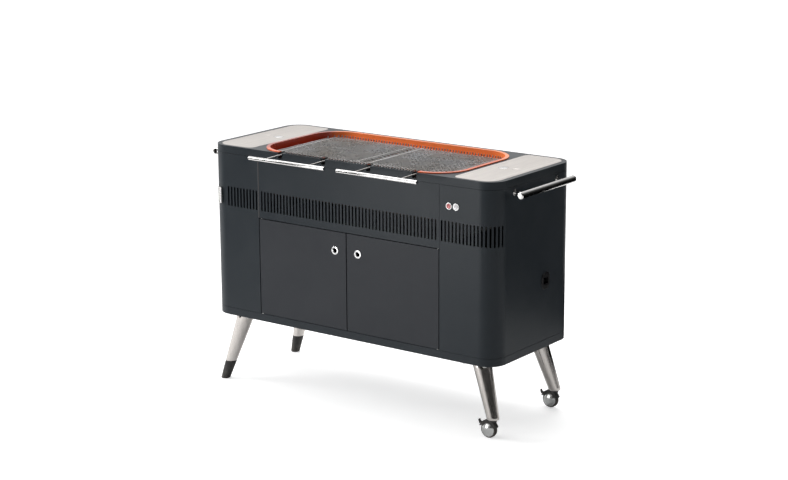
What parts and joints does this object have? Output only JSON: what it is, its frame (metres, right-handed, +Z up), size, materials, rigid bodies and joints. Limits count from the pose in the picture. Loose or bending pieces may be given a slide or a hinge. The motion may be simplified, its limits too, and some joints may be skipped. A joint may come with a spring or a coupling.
{
  "type": "cabinet charcoal grill",
  "caption": "Free-standing cabinet charcoal grill with rounded ends, two-door cupboard, enamel firebox with lift-out wire grills, steel plates, splayed legs and castors.",
  "frame": {"origin": "on the floor, under the middle of the whole object's box", "axes": "+Z up, -Y towards the front with the doors, +X towards the end with the castors"},
  "size_m": [1.365, 0.586, 0.9099],
  "materials": {
    "graphite_paint": "satin powder coat, fine texture",
    "door_paint": "satin powder coat, fine texture",
    "inner_steel": "plain dark grey coat",
    "prep_steel": "fine satin brushed",
    "orange_enamel": "glossy fired enamel",
    "wire_steel": "drawn wire, lightly worn",
    "tray_steel": "rolled sheet",
    "element_steel": "heat darkened",
    "bright_tube": "polished",
    "leg_steel": "brushed lengthways",
    "foot_plastic": "matt moulded",
    "dark_hardware": "satin black",
    "castor_metal": "satin plated",
    "castor_tyre": "matt rubber",
    "castor_hub": "moulded",
    "brake_plastic": "moulded",
    "ring_chrome": "polished",
    "ignition_cap": "gloss",
    "power_cap": "gloss",
    "bezel_chrome": "polished",
    "black_plastic": "semi-gloss moulded",
    "fastener_steel": "zinc plated"
  },
  "bodies": {
    "cabinet": {"base_pan": "graphite_paint", "left_side_shell": "graphite_paint", "right_side_shell": "graphite_paint", "front_fascia": "graphite_paint", "back_panel": "graphite_paint", "top_frame": "graphite_paint", "left_partition": "inner_steel", "right_partition": "inner_steel", "heat_shield": "inner_steel", "storage_shelf": "inner_steel", "right_prep_plate": "prep_steel", "left_prep_plate": "prep_steel", "firebox": "orange_enamel", "charcoal_tray": "tray_steel", "heating_element": "element_steel", "element_clamps": "tray_steel", "handle_posts": "bright_tube", "handle_caps": "bright_tube", "left_side_handle": "bright_tube", "right_side_handle": "bright_tube", "door_pins": "fastener_steel", "door_catches": "black_plastic", "leg_plates": "dark_hardware", "leg_bolts": "fastener_steel", "button_bezels": "bezel_chrome", "switch_bodies": "black_plastic", "power_inlet": "black_plastic", "control_box": "black_plastic", "post_guides": "inner_steel", "left_front_leg": "leg_steel", "left_back_leg": "leg_steel", "right_front_leg": "leg_steel", "right_back_leg": "leg_steel", "front_foot": "foot_plastic", "back_foot": "foot_plastic"},
    "left_door_leaf": {"left_door": "door_paint", "left_door_ring": "ring_chrome"},
    "right_door_leaf": {"right_door": "door_paint", "right_door_ring": "ring_chrome"},
    "left_grill_unit": {"left_grill": "wire_steel", "left_grill_handle": "bright_tube"},
    "right_grill_unit": {"right_grill": "wire_steel", "right_grill_handle": "bright_tube"},
    "ignition_cap": {"ignition_button": "ignition_cap"},
    "power_cap": {"power_button": "power_cap"},
    "vent_slide": {"vent_lever": "bright_tube", "vent_shutter": "inner_steel"},
    "left_spit": {"left_spit_post": "bright_tube"},
    "right_spit": {"right_spit_post": "bright_tube"},
    "front_castor": {"front_castor_housing": "castor_metal", "front_castor_axle": "fastener_steel"},
    "front_wheel": {"front_castor_hub": "castor_hub", "front_castor_tyre": "castor_tyre"},
    "front_brake": {"front_castor_brake": "brake_plastic"},
    "back_castor": {"back_castor_housing": "castor_metal", "back_castor_axle": "fastener_steel"},
    "back_wheel": {"back_castor_hub": "castor_hub", "back_castor_tyre": "castor_tyre"},
    "back_brake": {"back_castor_brake": "brake_plastic"}
  },
  "joints": [
    {"name": "left_door_hinge", "type": "hinge", "parent": "cabinet", "child": "left_door_leaf", "pos_m": [-0.3905, -0.1965, 0.475], "axis": [0, 0, 1], "range_deg": [-105, 0]},
    {"name": "right_door_hinge", "type": "hinge", "parent": "cabinet", "child": "right_door_leaf", "pos_m": [0.3905, -0.1965, 0.475], "axis": [0, 0, 1], "range_deg": [0, 105]},
    {"name": "left_grill_lift", "type": "slide", "parent": "cabinet", "child": "left_grill_unit", "axis": [0, 0, 1], "range_m": [0, 0.15]},
    {"name": "right_grill_lift", "type": "slide", "parent": "cabinet", "child": "right_grill_unit", "axis": [0, 0, 1], "range_m": [0, 0.15]},
    {"name": "ignition_press", "type": "slide", "parent": "cabinet", "child": "ignition_cap", "axis": [0, 1, 0], "range_m": [0, 0.0025], "stiffness_N_per_m": 400},
    {"name": "power_press", "type": "slide", "parent": "cabinet", "child": "power_cap", "axis": [0, 1, 0], "range_m": [0, 0.0025], "stiffness_N_per_m": 400},
    {"name": "vent_turn", "type": "hinge", "parent": "cabinet", "child": "vent_slide", "pos_m": [-0.558, -0.135, 0.718], "axis": [0, 0, 1], "range_deg": [0, 6.3]},
    {"name": "left_spit_rise", "type": "slide", "parent": "cabinet", "child": "left_spit", "axis": [0, 0, 1], "range_m": [0, 0.22]},
    {"name": "right_spit_rise", "type": "slide", "parent": "cabinet", "child": "right_spit", "axis": [0, 0, 1], "range_m": [0, 0.22]},
    {"name": "front_castor_swivel", "type": "hinge", "parent": "cabinet", "child": "front_castor", "pos_m": [0.59024, -0.154, 0.072], "axis": [0, 0, 1], "continuous": true},
    {"name": "front_wheel_spin", "type": "hinge", "parent": "front_castor", "child": "front_wheel", "pos_m": [0.56874, -0.146, 0.03], "axis": [0, 1, 0], "continuous": true},
    {"name": "front_brake_press", "type": "hinge", "parent": "front_castor", "child": "front_brake", "pos_m": [0.53402, -0.148, 0.05005], "axis": [0, 1, 0], "range_deg": [-25, 0]},
    {"name": "back_castor_swivel", "type": "hinge", "parent": "cabinet", "child": "back_castor", "pos_m": [0.59024, 0.245, 0.072], "axis": [0, 0, 1], "continuous": true},
    {"name": "back_wheel_spin", "type": "hinge", "parent": "back_castor", "child": "back_wheel", "pos_m": [0.56874, 0.253, 0.03], "axis": [0, 1, 0], "continuous": true},
    {"name": "back_brake_press", "type": "hinge", "parent": "back_castor", "child": "back_brake", "pos_m": [0.53402, 0.251, 0.05005], "axis": [0, 1, 0], "range_deg": [-25, 0]}
  ]
}
